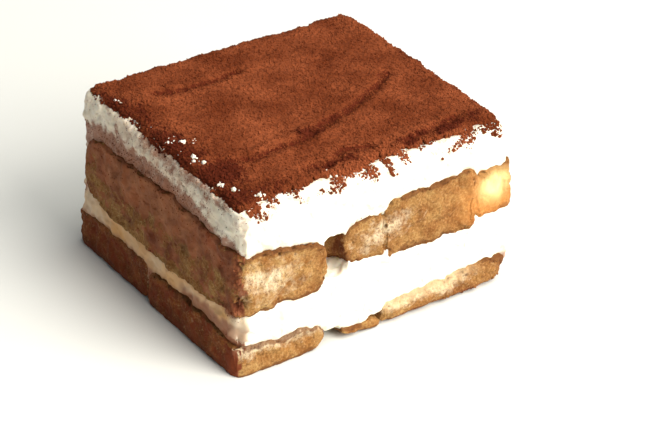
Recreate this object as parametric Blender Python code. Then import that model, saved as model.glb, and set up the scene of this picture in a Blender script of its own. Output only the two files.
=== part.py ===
"""A cut portion of tiramisu, modelled as it is put together: soaked sponge fingers in two
layers, cream over each layer, and a coat of cocoa on top.

Lengths in this file are in millimetres and become metres where a mesh is made. X runs along
the front cut, Y from the front cut to the back, Z is up. The origin is the middle of the base.

Every piece is first laid out in a straight block. settle() then gives all of them the same
slump, so neighbours keep the clearance that they had in the straight block.
"""

import math

import bmesh
import bpy

MM = 0.001
CLEARANCE = 0.3  # between touching pieces
CUTTER_REACH = 6.0  # how far a cutter runs past the block

# The straight block.
WIDTH = 90.0
DEPTH = 76.0
CREAM_TOP = 47.4
CREAM_SPLIT = 26.0  # level where the upper cream meets the lower cream
COCOA_THICKNESS = 1.1
# How far in from each side the cream's top starts to round over, and how far it drops there.
EDGE_LEFT, EDGE_RIGHT = 2.6, 1.2
EDGE_FRONT, EDGE_BACK = 3.5, 1.2
EDGE_DROP = 4.0

# How the block has slumped.
CORNER_RADIUS = 2.4  # upright edges
FOOT_FRONT = 2.4  # how far the front and left cuts lean out at the base
FOOT_LEFT = 1.2
HEAD_BACK = 1.6  # how far the back cut leans out at the top
TOP_IN_RIGHT = 0.5  # the right cut is drawn in at the top...
BELLY_RIGHT = 3.2  # ...and swells below it
BELLY_LENGTH = 1.35  # half wavelength of that swell, in block heights
SAG_ONSET = 4  # the cuts move with this power of the way out from the middle
CROWN = 2.0  # rise of the top in its middle
CROWN_FROM = 38.0  # level above which the crown starts
CROWN_FALL_X, CROWN_FALL_Y = 0.12, 0.38  # share of it that is lost towards the sides
SKEW = 0.02  # the back cut isn't quite parallel to the front cut
MIDDLE = (0.444, -0.479)  # the middle of the slumped block, which becomes the origin

# Lattice steps. In a rounded edge one line sits where the edge has turned by a quarter of its arc.
QUARTER_TURN = 1.0 - math.tan(math.radians(22.5))
FINGER_STEP = 9.0
SLAB_STEP = 8.0
COCOA_STEP = 5.0
SHARP_FROM = math.radians(40.0)  # edges that turn by more than this are shaded sharp

COCOA_COLOUR = (0.27, 0.062, 0.025, 1.0)
CREAM_COLOUR = (0.90, 0.86, 0.74, 1.0)
SPONGE_COLOUR = (0.56, 0.32, 0.13, 1.0)
SOAKED_COLOUR = (0.40, 0.20, 0.075, 1.0)


def smooth_step(low, high, value):
    """0 below low, 1 above high, and a smooth rise between."""
    t = min(1.0, max(0.0, (value - low) / (high - low)))
    return t * t * (3.0 - 2.0 * t)


def arch(value, middle, half_span):
    """1 at the middle, falling to 0 at half a span to either side."""
    return max(0.0, 1.0 - ((value - middle) / half_span) ** 2)


# --- the block's shape --------------------------------------------------------------------


def round_corner(x, y):
    """Turns the straight block's square upright edges into round ones."""
    centre_x = math.copysign(WIDTH / 2 - CORNER_RADIUS, x)
    centre_y = math.copysign(DEPTH / 2 - CORNER_RADIUS, y)
    past_x, past_y = abs(x) - abs(centre_x), abs(y) - abs(centre_y)
    if past_x <= 0.0 or past_y <= 0.0:
        return x, y
    inward = max(past_x, past_y) / math.hypot(past_x, past_y)
    return centre_x + (x - centre_x) * inward, centre_y + (y - centre_y) * inward


def settle(x, y, z):
    """Moves a point of the straight block to its place in the slumped one."""
    x, y = round_corner(x, y)
    sag = (1.0 - min(1.0, z / CREAM_TOP)) ** 2
    along_x = 2.0 * x / WIDTH
    along_y = 2.0 * y / DEPTH
    if x < 0.0:
        x -= FOOT_LEFT * sag * along_x**SAG_ONSET
    else:
        swell = math.sin(math.pi * (CREAM_TOP + 1.0 - z) / (BELLY_LENGTH * CREAM_TOP))
        x += (BELLY_RIGHT * swell - TOP_IN_RIGHT) * along_x**SAG_ONSET
    if y < 0.0:
        y -= FOOT_FRONT * sag * along_y**SAG_ONSET
    else:
        y += HEAD_BACK * (1.0 - sag) * along_y**SAG_ONSET - SKEW * x * along_y**2
    fall_x = 1.0 - CROWN_FALL_X * min(1.0, along_x**2)
    fall_y = 1.0 - CROWN_FALL_Y * min(1.0, along_y**2)
    rise = CROWN * fall_x * fall_y * smooth_step(CROWN_FROM, CREAM_TOP, z)
    return x - MIDDLE[0], y - MIDDLE[1], z + rise


def past(value, half, low_radius, high_radius):
    """How far a point is into the rounded edge on its side: 0 at its start, 1 at the cut."""
    radius = low_radius if value < 0.0 else high_radius
    return max(0.0, abs(value) - (half - radius)) / radius


def cream_surface(x, y):
    """Height of the cream's top in the straight block, with its rounded edges."""
    past_x = past(x, WIDTH / 2, EDGE_LEFT, EDGE_RIGHT)
    past_y = past(y, DEPTH / 2, EDGE_FRONT, EDGE_BACK)
    return CREAM_TOP - EDGE_DROP * (1.0 - math.sqrt(max(0.0, 1.0 - past_x**2 - past_y**2)))


# --- how a mesh is made -------------------------------------------------------------------


def stations(low, high, low_radius, high_radius, step):
    """Lattice lines from low to high: two in each rounded edge, one where the upright edge of
    the block starts behind a cut, and even steps between."""
    first, last = low + (low_radius or CORNER_RADIUS), high - (high_radius or CORNER_RADIUS)
    count = max(1, round((last - first) / step))
    lines = [first + (last - first) * i / count for i in range(count + 1)]
    if low_radius:
        lines.insert(0, low + QUARTER_TURN * low_radius)
    if high_radius:
        lines.append(high - QUARTER_TURN * high_radius)
    return [low] + lines + [high]


def rounded(point, box):
    """Moves a point of a box's surface onto the same box with rounded edges.

    box has (low, high, radius at low, radius at high) for each axis. An edge is round where
    both of its sides have a radius, so a side with a radius of 0 is a flat cut."""
    inner, reach, stretch = [], [], 0.0
    for value, (low, high, low_radius, high_radius) in zip(point, box):
        kept = min(max(value, low + low_radius), high - high_radius)
        radius = low_radius if value < kept else high_radius
        inner.append(kept)
        reach.append(value - kept)
        stretch += ((value - kept) / radius) ** 2 if radius else 0.0
    scale = 1.0 / math.sqrt(stretch) if stretch > 1.0 else 1.0
    return [a + b * scale for a, b in zip(inner, reach)]


def gridded_box(name, lines, place, collection):
    """A closed box with a grid on every side, raised from a flat grid in steps.

    lines holds the lattice lines along X, Y and Z, and place moves each lattice point."""
    counts = [len(axis_lines) - 1 for axis_lines in lines]
    bm = bmesh.new()
    bmesh.ops.create_grid(bm, x_segments=counts[0], y_segments=counts[1], size=0.5)
    for vert in bm.verts:
        vert.co.x = round((vert.co.x + 0.5) * counts[0])
        vert.co.y = round((vert.co.y + 0.5) * counts[1])
    top = bm.faces[:]
    for level in range(counts[2]):
        raised = bmesh.ops.extrude_face_region(bm, geom=top, use_keep_orig=True)["geom"]
        if level > 0:
            bmesh.ops.delete(bm, geom=top, context="FACES")
        top = [item for item in raised if isinstance(item, bmesh.types.BMFace)]
        moved = [item for item in raised if isinstance(item, bmesh.types.BMVert)]
        bmesh.ops.translate(bm, verts=moved, vec=(0.0, 0.0, 1.0))
    for vert in bm.verts:
        point = [axis_lines[round(c)] for axis_lines, c in zip(lines, vert.co)]
        vert.co = [MM * c for c in settle(*place(*point))]
    bmesh.ops.recalc_face_normals(bm, faces=bm.faces[:])
    mesh = bpy.data.meshes.new(name)
    bm.to_mesh(mesh)
    bm.free()
    mesh.shade_smooth()
    mesh.set_sharp_from_angle(angle=SHARP_FROM)
    piece = bpy.data.objects.new(name, mesh)
    collection.objects.link(piece)
    return piece


def sponge(name, box, shape, collection):
    """A sponge finger."""
    lines = [stations(*side, FINGER_STEP) for side in box]
    return gridded_box(name, lines, lambda *p: shape(*rounded(p, box)), collection)


def room_for(name, box, shape, collection):
    """The cutter that makes room for a finger in the cream: the clearance bigger all round, and
    past the block at the finger's cuts. Elsewhere it keeps the finger's own lattice lines."""
    bigger, lines = [], []
    for low, high, low_radius, high_radius in box:
        low_grow, high_grow = (CLEARANCE if radius else 0.0 for radius in (low_radius, high_radius))
        side = [low - low_grow, high + high_grow, low_radius + low_grow, high_radius + high_grow]
        side_lines = stations(*side, FINGER_STEP)
        if not low_radius:
            side[0] -= CUTTER_REACH
            side_lines.insert(0, side[0])
        if not high_radius:
            side[1] += CUTTER_REACH
            side_lines.append(side[1])
        bigger.append(side)
        lines.append(side_lines)
    return gridded_box(name, lines, lambda *p: shape(*rounded(p, bigger)), collection)


def cut_away(piece, cutters):
    """Takes the cutters out of a piece."""
    for cutter in cutters:
        modifier = piece.modifiers.new(cutter.name, "BOOLEAN")
        modifier.operation = "DIFFERENCE"
        modifier.solver = "EXACT"
        modifier.object = cutter


def paint(piece, colour, roughness):
    material = bpy.data.materials.new(piece.name)
    material.use_nodes = True
    shader = material.node_tree.nodes["Principled BSDF"]
    shader.inputs["Base Color"].default_value = colour
    shader.inputs["Roughness"].default_value = roughness
    shader.inputs["Metallic"].default_value = 0.0
    piece.data.materials.append(material)


# --- the upper fingers, which run from front to back ---------------------------------------
# A box side with no radius is a cut. Proud and shy cut faces stand a little off the block's.

UPPER_FINGERS = {
    "sponge_upper_left": [(-45.9, -17.0, 0, 6), (-38.5, 35.4, 0, 6), (18.6, 35.3, 6, 6)],
    "sponge_upper_middle": [(-16.6, 2.85, 4, 1.2), (-37.5, 38.0, 0, 0), (22.0, 34.6, 5, 5)],
    "sponge_upper_right": [(3.15, 33.35, 1.2, 2), (-38.2, 38.2, 0, 0), (21.2, 37.9, 5, 5)],
    "sponge_upper_end": [(33.65, 45.4, 1.2, 0), (-38.1, 37.6, 0, 0), (22.9, 36.6, 4, 4)],
}
BOW = 2.4  # the fingers are thicker by this, above and below, in the middle of their length
BOW_SPAN = DEPTH / 2 + 3.0
UPPER_TOPS, UPPER_UNDERSIDES = (24.0, 34.0), (19.0, 27.0)  # levels over which a bow grows
WANDER, WANDER_LENGTH = 0.8, 14.0  # sideways drift of the fingers along their length
LEFT_SLOPE = 2.6  # drop of the left finger's top towards its right side, at the front
LEFT_SLOPE_X, LEFT_SLOPE_Y = (-36.0, -17.0), (-30.0, 0.0)  # where it grows and fades
LEFT_SLOPE_FADE = 0.6  # share of it that is lost towards the back
BROKEN_CORNER = 6.1  # width of the hollow where the second finger's front corner is gone
BROKEN_FROM, BROKEN_DEPTH = 4.2, 7.6  # depths at which the side starts and ends its step back
BROKEN_X = (2.85, -15.0)  # the finger's whole side, which stays, to its broken side


def shape_upper(x, y, z):
    """Bows a finger's top and bottom and lets it drift sideways, all four alike."""
    middle = arch(y, 0.0, BOW_SPAN)
    z += BOW * middle * smooth_step(*UPPER_TOPS, z)
    z -= BOW * middle * (1.0 - smooth_step(*UPPER_UNDERSIDES, z))
    x += WANDER * math.sin(y / WANDER_LENGTH) * arch(x, 0.0, WIDTH / 2)
    return x, y, z


def shape_left(x, y, z):
    """The left finger: its top slopes down to the right."""
    slope = smooth_step(*LEFT_SLOPE_X, x) * (1.0 - LEFT_SLOPE_FADE * smooth_step(*LEFT_SLOPE_Y, y))
    return shape_upper(x, y, z - LEFT_SLOPE * slope * smooth_step(*UPPER_TOPS, z))


def shape_broken(x, y, z):
    """The second finger: its left side steps back where its front corner is broken off."""
    front = -DEPTH / 2
    gone = 1.0 - smooth_step(front + BROKEN_FROM, front + BROKEN_DEPTH, y)
    x += BROKEN_CORNER * gone * smooth_step(*BROKEN_X, x)
    return shape_upper(x, y, z)


UPPER_SHAPES = {"sponge_upper_left": shape_left, "sponge_upper_middle": shape_broken}
# The hollow that the broken corner leaves between the first two fingers.
HOLLOW_BOX = [(-18.5, -9.5, 3, 3), (-50.0, -28.4, 3, 4), (20.6, 32.4, 3, 3)]


# --- the lower fingers, which stand on the base ---------------------------------------------

LOWER_FINGERS = {
    "sponge_lower_left": [(-45.9, -18.2, 0, 6), (-38.6, 2.6, 0, 2.5), (0.0, 10.6, 4, 4)],
    "sponge_lower_right": [(1.8, 44.2, 3, 7), (-39.0, 2.0, 3, 5), (0.0, 10.0, 2.5, 3.5)],
    "sponge_lower_back": [(-45.1, 44.6, 0, 0), (3.6, 38.3, 2.5, 0), (0.0, 10.9, 3, 4)],
}
FRONT_THINNING = 2.9  # the lower fingers are pressed thinner towards the front cut...
THIN_FROM, THIN_TO = -24.0, -38.0
RIGHT_THICKENING = 1.7  # ...and swell again towards the right
THICK_FROM, THICK_TO = 10.0, 44.0
LOWER_TOPS = (2.0, 8.0)  # levels over which both grow, so the undersides stay flat


def shape_lower(x, y, z):
    """Thins a lower finger towards the front cut."""
    thin = FRONT_THINNING * (1.0 - smooth_step(THIN_TO, THIN_FROM, y))
    thin -= RIGHT_THICKENING * smooth_step(THICK_FROM, THICK_TO, x)
    return x, y, z - thin * smooth_step(*LOWER_TOPS, z)


# --- the scrap of crust under the cream, between the two lower fingers at the front ---------

FLAKE_LEFT, FLAKE_RIGHT = -12.5, 0.6
FLAKE_BOX = [(FLAKE_LEFT, FLAKE_RIGHT, 2, 2), (-38.6, -27.0, 0, 3), (0.0, 1.0, 0.4, 0.4)]
FLAKE_LIFT, FLAKE_CURL = 1.8, 1.5  # its left end has curled up off the base
FLAKE_SWELL = 0.8  # and its right end is thicker, by this share


def shape_flake(x, y, z):
    along = (x - FLAKE_LEFT) / (FLAKE_RIGHT - FLAKE_LEFT)
    return x, y, z * (1.0 + FLAKE_SWELL * along) + FLAKE_LIFT * (1.0 - along) ** FLAKE_CURL


# --- the cream -------------------------------------------------------------------------------

LOWER_CREAM_BASE = 5.4  # underside where it hangs between the lower fingers
FRONT_GAP_BASE = 3.2  # and where it sinks between the two at the front
SINK_LEFT, SINK_RIGHT, SINK_BACK = (-21.0, -16.0), (-1.0, 3.0), (-6.0, 2.0)  # edges of that sink
SINK_HEIGHT = 4.0  # it fades out over this height


def shape_upper_cream(x, y, z):
    """The upper cream keeps the block's own shape."""
    return x, y, z


def shape_lower_cream(x, y, z):
    """Lets the cream sink between the two front fingers."""
    between = smooth_step(*SINK_LEFT, x) * (1.0 - smooth_step(*SINK_RIGHT, x))
    sink = between * (1.0 - smooth_step(*SINK_BACK, y)) * (LOWER_CREAM_BASE - FRONT_GAP_BASE)
    fade = 1.0 - smooth_step(LOWER_CREAM_BASE, LOWER_CREAM_BASE + SINK_HEIGHT, z)
    return x, y, z - sink * fade


def cream(name, low, high, edge_drop, shape, collection):
    """One cream layer as a full slab, before the fingers are taken out of it."""
    box = [
        (-WIDTH / 2, WIDTH / 2, EDGE_LEFT, EDGE_RIGHT),
        (-DEPTH / 2, DEPTH / 2, EDGE_FRONT, EDGE_BACK),
        (low, high, 0, edge_drop),
    ]
    lines = [stations(*side, SLAB_STEP) for side in box]
    return gridded_box(name, lines, lambda *p: shape(*rounded(p, box)), collection)


# --- the cocoa -------------------------------------------------------------------------------

COCOA_FRONT = 4.0  # bare strip of cream along the front edge
COCOA_MARGIN = 0.4  # and along the other edges
LEFT_BARE = 1.8  # wider by this much at the back of the left edge
COCOA_CORNER = 1.2
COCOA_MIN = 0.5  # the coat is nowhere thinner than this
COCOA_THIN_EDGE = 0.55  # its thickness along its edges, as a share of the full one
COCOA_EDGE_WIDTH = 3.0  # it reaches its full thickness this far in
LEFT_BARE_Y = (-8.0, 15.0)  # the left edge's bare strip grows between these
RAGGED = [(0.9, 5.3, 0.0), (0.5, 2.9, 1.0)]  # waves in the front edge: (height, length, phase)
EDGE_LINES = (0.0, 0.4, 0.8, 1.6, 3.2)  # distances in from an edge, closer where it rounds over
# Ridges left by the spreading knife, under the cocoa: (y at x = 0, slope, curve, height, width).
STROKES = [
    (-11.5, 0.16, 0.0035, -1.1, 2.6),  # the long furrow across the top
    (-27.5, 0.02, 0.0, -0.8, 2.2),  # the furrow near the front edge
    (-19.5, 0.10, 0.001, 0.5, 3.0),  # the low band between the two
    (6.0, 0.22, 0.0, 0.5, 13.0),  # the smooth rise behind them
    (29.0, -0.05, 0.0, -0.3, 4.0),
]
STROKE_DEPTH = 0.5  # share of a stroke that still shows through the coat


def relief(x, y):
    """Height of the knife strokes on the top."""
    height = 0.0
    for start, slope, curve, rise, width in STROKES:
        off = y - (start + slope * x + curve * x * x)
        height += rise * math.exp(-((off / width) ** 2))
    return height


def edge_stations(low, high):
    """Lattice lines of the cocoa, from edge to edge."""
    first, last = low + EDGE_LINES[-1], high - EDGE_LINES[-1]
    count = round((last - first) / COCOA_STEP)
    inner = [first + (last - first) * i / count for i in range(count + 1)]
    return [low + d for d in EDGE_LINES[:-1]] + inner + [high - d for d in EDGE_LINES[-2::-1]]


def shape_cocoa(x, y, level):
    """Lays the coat on the cream. level is 0 on its underside and 1 on its top."""
    front, left = -DEPTH / 2, -WIDTH / 2
    near_front = 1.0 - smooth_step(front + COCOA_FRONT, front + 2.5 * COCOA_FRONT, y)
    y += near_front * sum(high * math.sin(x / long + phase) for high, long, phase in RAGGED)
    to_side = WIDTH / 2 - COCOA_MARGIN - abs(x)
    near_left = 1.0 - smooth_step(left, left + 5.0 * LEFT_BARE, x)
    x += near_left * LEFT_BARE * smooth_step(*LEFT_BARE_Y, y)
    to_end = min(DEPTH / 2 - COCOA_MARGIN - y, y - COCOA_FRONT - front)
    inside = smooth_step(0.0, COCOA_EDGE_WIDTH, min(to_side, to_end))
    thickness = COCOA_THICKNESS * (COCOA_THIN_EDGE + (1.0 - COCOA_THIN_EDGE) * inside)
    thickness += STROKE_DEPTH * relief(x, y) * inside
    return x, y, cream_surface(x, y) + CLEARANCE + max(COCOA_MIN, thickness) * level


def cocoa(name, collection):
    box = [
        (-WIDTH / 2 + COCOA_MARGIN, WIDTH / 2 - COCOA_MARGIN, COCOA_CORNER, COCOA_CORNER),
        (-DEPTH / 2 + COCOA_FRONT, DEPTH / 2 - COCOA_MARGIN, COCOA_CORNER, COCOA_CORNER),
        (0.0, 1.0, 0, 0),
    ]
    lines = [edge_stations(*side[:2]) for side in box[:2]] + [[0.0, 1.0]]
    return gridded_box(name, lines, lambda *p: shape_cocoa(*rounded(p, box)), collection)


# --- putting it together ---------------------------------------------------------------------


def build():
    for thing in list(bpy.data.objects):
        bpy.data.objects.remove(thing, do_unlink=True)
    portion = bpy.data.collections.new("tiramisu_portion")
    tools = bpy.data.collections.new("cutters")
    for collection in (portion, tools):
        bpy.context.scene.collection.children.link(collection)

    upper_cutters, lower_cutters = [sponge("hollow", HOLLOW_BOX, shape_upper, tools)], []
    for name, box in UPPER_FINGERS.items():
        shape = UPPER_SHAPES.get(name, shape_upper)
        paint(sponge(name, box, shape, portion), SPONGE_COLOUR, 0.75)
        upper_cutters.append(room_for(f"room_{name}", box, shape, tools))
    for name, box in LOWER_FINGERS.items():
        paint(sponge(name, box, shape_lower, portion), SOAKED_COLOUR, 0.7)
        lower_cutters.append(room_for(f"room_{name}", box, shape_lower, tools))
    paint(sponge("sponge_flake", FLAKE_BOX, shape_flake, portion), SOAKED_COLOUR, 0.7)

    low = CREAM_SPLIT + CLEARANCE / 2
    upper = cream("cream_upper", low, CREAM_TOP, EDGE_DROP, shape_upper_cream, portion)
    cut_away(upper, upper_cutters)
    high = CREAM_SPLIT - CLEARANCE / 2
    lower = cream("cream_lower", LOWER_CREAM_BASE, high, 0, shape_lower_cream, portion)
    cut_away(lower, upper_cutters + lower_cutters)
    for piece in (upper, lower):
        paint(piece, CREAM_COLOUR, 0.5)
    paint(cocoa("cocoa_top", portion), COCOA_COLOUR, 0.95)

    for cutter in tools.objects:
        cutter.hide_render = True
        cutter.display_type = "WIRE"


build()
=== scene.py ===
# %% [markdown]
# # A portion of tiramisu
#
# Tiramisu is built up in a dish: sponge fingers dipped in coffee, mascarpone cream over them, a
# second layer of both, and cocoa sieved over the top. A portion is cut out with a knife, so its
# sides show the layers and its top shows the powder. The frame that is loaded here has one solid
# for every finger and every layer, at its real size. This lesson gives each of them its surface:
# pores in the sponge, drag marks in the cream, clumps in the cocoa.

# %% Load the frame
import math
from functools import partial

import bmesh
import bpy
import numpy as np
from mathutils import Matrix, Vector


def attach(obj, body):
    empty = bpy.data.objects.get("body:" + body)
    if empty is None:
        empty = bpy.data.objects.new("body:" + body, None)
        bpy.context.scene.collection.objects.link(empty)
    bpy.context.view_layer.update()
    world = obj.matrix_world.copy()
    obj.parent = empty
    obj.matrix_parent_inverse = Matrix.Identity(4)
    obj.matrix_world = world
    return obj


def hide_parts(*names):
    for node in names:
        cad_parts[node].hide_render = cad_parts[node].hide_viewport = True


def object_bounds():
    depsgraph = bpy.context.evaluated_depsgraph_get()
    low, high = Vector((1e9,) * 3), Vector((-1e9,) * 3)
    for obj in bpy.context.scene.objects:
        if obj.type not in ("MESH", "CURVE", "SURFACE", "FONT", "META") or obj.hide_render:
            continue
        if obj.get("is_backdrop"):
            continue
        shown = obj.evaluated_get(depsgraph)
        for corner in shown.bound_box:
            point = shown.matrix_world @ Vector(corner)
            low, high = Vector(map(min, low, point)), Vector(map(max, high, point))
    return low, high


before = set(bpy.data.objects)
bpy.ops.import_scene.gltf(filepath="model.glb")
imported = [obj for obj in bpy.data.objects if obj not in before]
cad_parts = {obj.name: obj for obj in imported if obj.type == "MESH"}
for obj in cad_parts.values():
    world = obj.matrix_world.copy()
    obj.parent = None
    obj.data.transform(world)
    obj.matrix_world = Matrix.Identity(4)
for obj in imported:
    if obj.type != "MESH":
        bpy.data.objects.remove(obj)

MM = 0.001
cad_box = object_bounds()
block_low, block_high = cad_box
print("the block measures", [round(side / MM, 1) for side in block_high - block_low], "mm")

# %% [markdown]
# ## Colours, nodes and objects
#
# A colour that is given here is an sRGB value, and a shader wants linear light, so one function
# turns a hex value to linear. A node tree could be clicked together in the editor, but a script can
# be read and repeated. One small function adds a node, makes its settings and fills its inputs, and
# the kinds of node that come back often have short names. Two more put objects into the scene.

# %% Helpers for colours, nodes and objects
MATH, VECTOR, RANGE = "ShaderNodeMath", "ShaderNodeVectorMath", "ShaderNodeMapRange"
NOISE, CELLS, SPLIT = "ShaderNodeTexNoise", "ShaderNodeTexVoronoi", "ShaderNodeSeparateXYZ"
JOIN, MOVE, BLUR = "ShaderNodeCombineXYZ", "GeometryNodeSetPosition", "GeometryNodeBlurAttribute"
STORE, STORED = "GeometryNodeStoreNamedAttribute", "GeometryNodeInputNamedAttribute"


def linear(hex_colour):
    """The linear RGBA of an sRGB hex colour such as "8A4B2D"."""
    channels = [int(hex_colour[i : i + 2], 16) / 255.0 for i in (0, 2, 4)]
    return [c / 12.92 if c <= 0.04045 else ((c + 0.055) / 1.055) ** 2.4 for c in channels] + [1.0]


def add_node(tree, kind, inputs=(), **settings):
    """Adds a node, makes its settings and fills its inputs. A list fills them in order, a dict by
    number, identifier or name. A node given as a value stands for its first output, and a string
    given to a colour input is a hex colour."""
    node = tree.nodes.new(kind)
    for name, value in settings.items():
        setattr(node, name, value)
    for key, value in inputs.items() if isinstance(inputs, dict) else enumerate(inputs):
        by_identifier = [socket for socket in node.inputs if socket.identifier == key]
        socket = by_identifier[0] if by_identifier else node.inputs[key]
        if isinstance(value, bpy.types.Node):
            value = next(output for output in value.outputs if output.enabled)
        if isinstance(value, bpy.types.NodeSocket):
            tree.links.new(value, socket)
        else:
            is_hex = isinstance(value, str) and socket.type == "RGBA"
            socket.default_value = linear(value) if is_hex else value
    return node


def add_object(name, data):
    """A new object in the scene, at the origin, unturned and unscaled."""
    item = bpy.data.objects.new(name, data)
    bpy.context.scene.collection.objects.link(item)
    return item


def mesh_object(name, bm):
    """A new object with the mesh of a bmesh, which is freed."""
    mesh = bpy.data.meshes.new(name)
    bm.to_mesh(mesh)
    bm.free()
    return add_object(name, mesh)


print("cocoa in linear light:", [round(c, 3) for c in linear("8A4B2D")[:3]])

# %% [markdown]
# ## Camera
#
# A portion on a plate is looked at from above one corner. A long lens keeps the verticals nearly
# parallel, as a close-up lens does from a step away. The camera is turned a little about its own
# axis. It could be placed with a Track To constraint; a matrix built from three angles does the
# same without a constraint to carry along.

# %% Place the camera
AZIMUTH, ELEVATION, ROLL = (math.radians(a) for a in (-38.0, 32.44, 3.33))
AIM = Vector((-6.0, -21.4, 25.0)) * MM
DISTANCE = 737.2 * MM
LENS = 149.5


def direction(azimuth, elevation):
    """From the block towards a place around it. Azimuth 0 is in front of the long cut, 90 right."""
    level = math.cos(elevation)
    return Vector((math.sin(azimuth) * level, -math.cos(azimuth) * level, math.sin(elevation)))


back = direction(AZIMUTH, ELEVATION)
level_right = Vector((math.cos(AZIMUTH), math.sin(AZIMUTH), 0.0))
right = math.cos(ROLL) * level_right + math.sin(ROLL) * back.cross(level_right)
turn = Matrix((right, back.cross(right), back)).transposed().to_4x4()
camera = add_object("camera", bpy.data.cameras.new("camera"))
camera.data.lens = LENS
camera.data.sensor_width = 36.0
camera.data.clip_start = 0.01
camera.matrix_world = Matrix.Translation(AIM + DISTANCE * back) @ turn
bpy.context.scene.camera = camera
print("the camera stands", round(DISTANCE * 100), "cm away")

# %% [markdown]
# ## Floor and light
#
# Pale food needs a pale floor, which also sends light back up into the shaded cut. One broad lamp
# from the front right lights the long cut strongly and leaves the left cut in shade, so that the
# layers read on both. The standard view transform lets the cream run to clean white, where a filmic
# one would turn it grey.

# %% Make the floor and the lights
FLOOR_SIZE = 6.0
LAMP_SIZE, LAMP_DISTANCE = 1.0, 1.3
LAMPS = {"window_light": (24.0, 37.0, 31.0, "FFFAF2"), "ceiling_light": (60.0, 76.0, 13.0, "FFFCF4")}

for name, (azimuth, elevation, watts, hex_colour) in LAMPS.items():
    towards = direction(math.radians(azimuth), math.radians(elevation))
    lamp = add_object(name, bpy.data.lights.new(name, "AREA"))
    lamp.data.size = LAMP_SIZE
    lamp.data.energy = watts
    lamp.data.color = linear(hex_colour)[:3]
    lamp.location = LAMP_DISTANCE * towards
    lamp.rotation_euler = towards.to_track_quat("Z", "Y").to_euler()
world = bpy.data.worlds.new("soft room light")
world.use_nodes = True
world.node_tree.nodes["Background"].inputs["Color"].default_value = linear("E2EBF8")
world.node_tree.nodes["Background"].inputs["Strength"].default_value = 0.16
bpy.context.scene.world = world
bpy.context.scene.view_settings.view_transform = "Standard"

floor_bm = bmesh.new()
bmesh.ops.create_grid(floor_bm, x_segments=1, y_segments=1, size=FLOOR_SIZE / 2)
floor = mesh_object("floor", floor_bm)
floor_paint = bpy.data.materials.new("matt white board")
floor_paint.use_nodes = True
floor_paint.node_tree.nodes["Principled BSDF"].inputs["Base Color"].default_value = linear("DEDFDB")
floor_paint.node_tree.nodes["Principled BSDF"].inputs["Roughness"].default_value = 0.8
floor.data.materials.append(floor_paint)
floor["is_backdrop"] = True
print("floor and", len(bpy.data.lights), "lamps ready")

# %% [markdown]
# ## Masks
#
# Much of the look depends on where on the block a point is: dust lies thick along the left cut, the
# left cut's lower sponge is darker, knife furrows cross the top. Such a mask could be painted by
# hand. Here each is a short formula over the points of a mesh, in millimetres, stored as an
# attribute that the materials and the grain scatterers read.

# %% Helpers for masks
LEFT_CUT = (-38.0, -42.0)  # what belongs to the left cut begins between these in x


def smooth_step(low, high, values):
    t = np.clip((np.asarray(values, float) - low) / (high - low), 0.0, 1.0)
    return t * t * (3.0 - 2.0 * t)


def band(low, high, soft, values):
    """1 between low and high, and falling to 0 over the distance soft outside them."""
    return smooth_step(low - soft, low, values) * (1.0 - smooth_step(high, high + soft, values))


def on_left_cut(x, nx, low=0.2, high=0.7):
    """1 on the left cut, where the face looks to the left."""
    return smooth_step(low, high, -nx) * smooth_step(*LEFT_CUT, x)


def wander(x, y, z, size, seed):
    """A smooth, irregular value between about -1 and 1 that changes over the given size."""
    random = np.random.default_rng(seed)
    total = np.zeros_like(x)
    for _ in range(7):
        way = random.normal(size=3)
        way *= 2.0 * math.pi / (size * random.uniform(0.7, 1.6) * np.linalg.norm(way))
        total += np.sin(way[0] * x + way[1] * y + way[2] * z + random.uniform(0.0, math.tau))
    return total / 3.5


def points_of(mesh):
    """The mesh's points in millimetres, as three arrays."""
    flat = np.empty(len(mesh.vertices) * 3, np.float32)
    mesh.vertices.foreach_get("co", flat)
    return flat.reshape(-1, 3).T.astype(float) / MM


def normals_of(mesh):
    flat = np.empty(len(mesh.vertices) * 3, np.float32)
    mesh.vertex_normals.foreach_get("vector", flat)
    return flat.reshape(-1, 3).T.astype(float)


def read(mesh, name):
    values = np.empty(len(mesh.vertices), np.float32)
    mesh.attributes[name].data.foreach_get("value", values)
    return values


def store(mesh, name, values):
    attribute = mesh.attributes.get(name) or mesh.attributes.new(name, "FLOAT", "POINT")
    attribute.data.foreach_set("value", np.asarray(values, np.float32))


print("a mask halfway up a step of 1 mm:", float(smooth_step(0.0, 1.0, 0.5)))

# %% [markdown]
# ## Cocoa and coffee on the cuts
#
# A knife drags powder down the side that it cuts last, and coffee creeps out of the sponge into the
# cream. Both follow the layers, with uneven borders. They could be one noise texture, but noise
# knows nothing of layers. So each is a sum of bands across the height, and the borders wander. The
# mask of the finest dust also darkens the cream of the whole left cut as painted shade, and lightens
# the dust on its upper sponge as painted light.

# %% Masks for cocoa and coffee


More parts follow.
